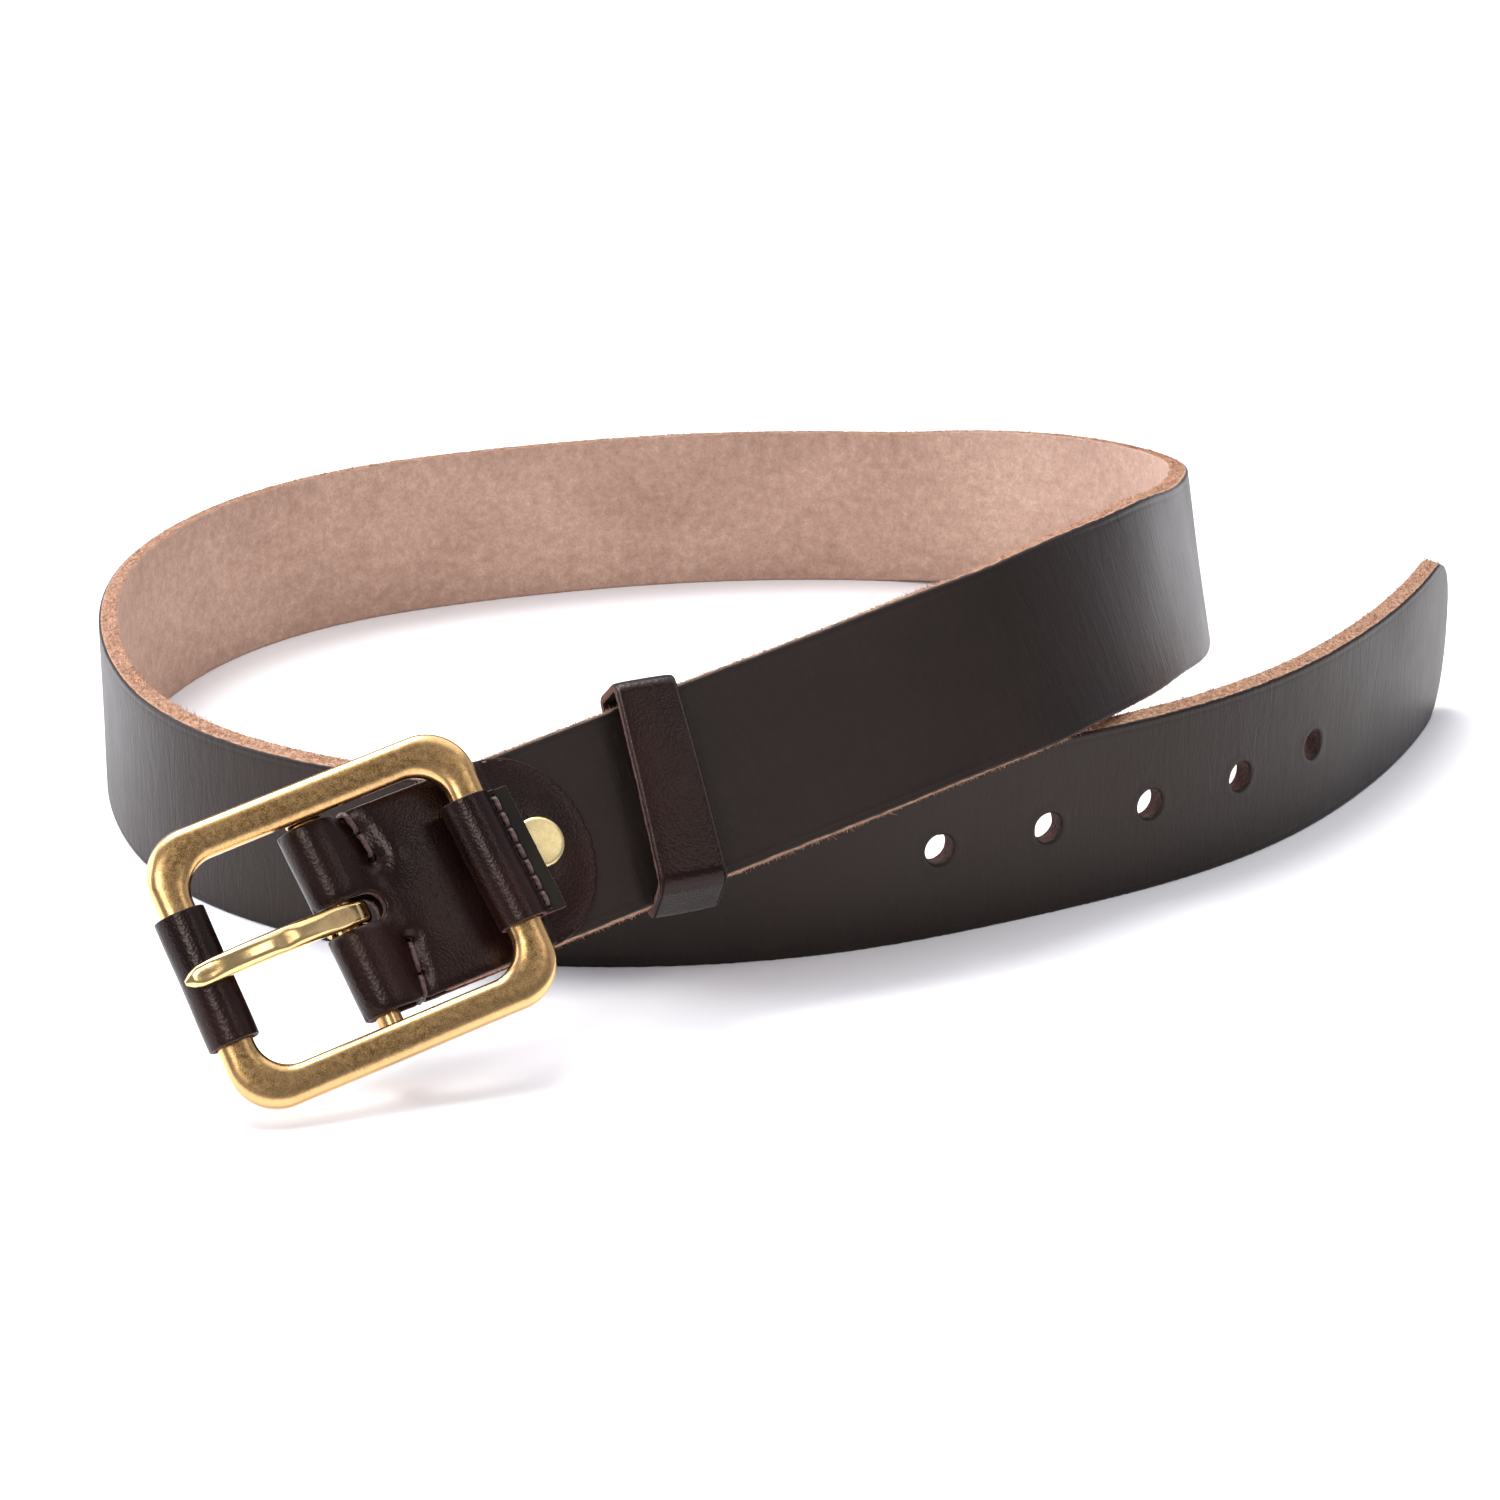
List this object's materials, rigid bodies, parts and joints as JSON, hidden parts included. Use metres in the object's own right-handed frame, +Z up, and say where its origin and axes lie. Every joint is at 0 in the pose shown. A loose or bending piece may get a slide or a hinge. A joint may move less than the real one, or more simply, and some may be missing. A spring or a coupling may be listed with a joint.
{
  "type": "leather belt",
  "caption": "Full-grain leather waist belt standing in a loose loop, with a brass centre-bar buckle, swinging prong, leather bar sleeves and a sliding keeper",
  "frame": {"origin": "under the middle of the bounding box, on the surface the belt stands on", "axes": "+Z up, the strap standing on its lower edge; the buckle faces -Y and lies at -X, the tail at +X"},
  "size_m": [0.306, 0.3182, 0.074],
  "materials": {
    "strap_leather": "smooth waxed grain outside, pinkish tan suede inside, raw cut edges",
    "trim_leather": "fine pebbled grain, slightly glossy",
    "thread": "waxed",
    "antique_brass": "antique satin",
    "bright_brass": "hand-finished, polished",
    "pale_brass": "brushed"
  },
  "bodies": {
    "belt": {"strap": "strap_leather", "chape": "trim_leather", "chape_stitch_upper": "thread", "chape_stitch_lower": "thread", "rivet_cap": "pale_brass", "rivet_base": "pale_brass"},
    "tail": {"strap_tail": "strap_leather"},
    "keeper": {"keeper_loop": "trim_leather", "keeper_seam_thread": "thread"},
    "buckle": {"buckle_frame": "antique_brass", "centre_bar": "antique_brass", "rear_bar_sleeve": "trim_leather", "rear_sleeve_thread": "thread", "front_bar_sleeve": "trim_leather", "front_sleeve_thread": "thread"},
    "prong": {"prong": "bright_brass"}
  },
  "joints": [
    {"name": "frame_swing", "type": "hinge", "parent": "belt", "child": "buckle", "pos_m": [-0.08405, -0.13073, 0.02816], "axis": [0.4118, -0.4467, -0.7943], "range_deg": [0, 45]},
    {"name": "prong_swing", "type": "hinge", "parent": "buckle", "child": "prong", "pos_m": [-0.08405, -0.13073, 0.02816], "axis": [-0.4118, 0.4467, 0.7943], "range_deg": [0, 90]},
    {"name": "keeper_slide", "type": "slide", "parent": "belt", "child": "keeper", "axis": [0.8668, 0.4609, 0.1902], "range_m": [-0.008, 0.02]},
    {"name": "tail_flex", "type": "hinge", "parent": "belt", "child": "tail", "pos_m": [0.08296, -0.03707, 0], "axis": [0, 0, 1], "range_deg": [-35, 8]}
  ]
}
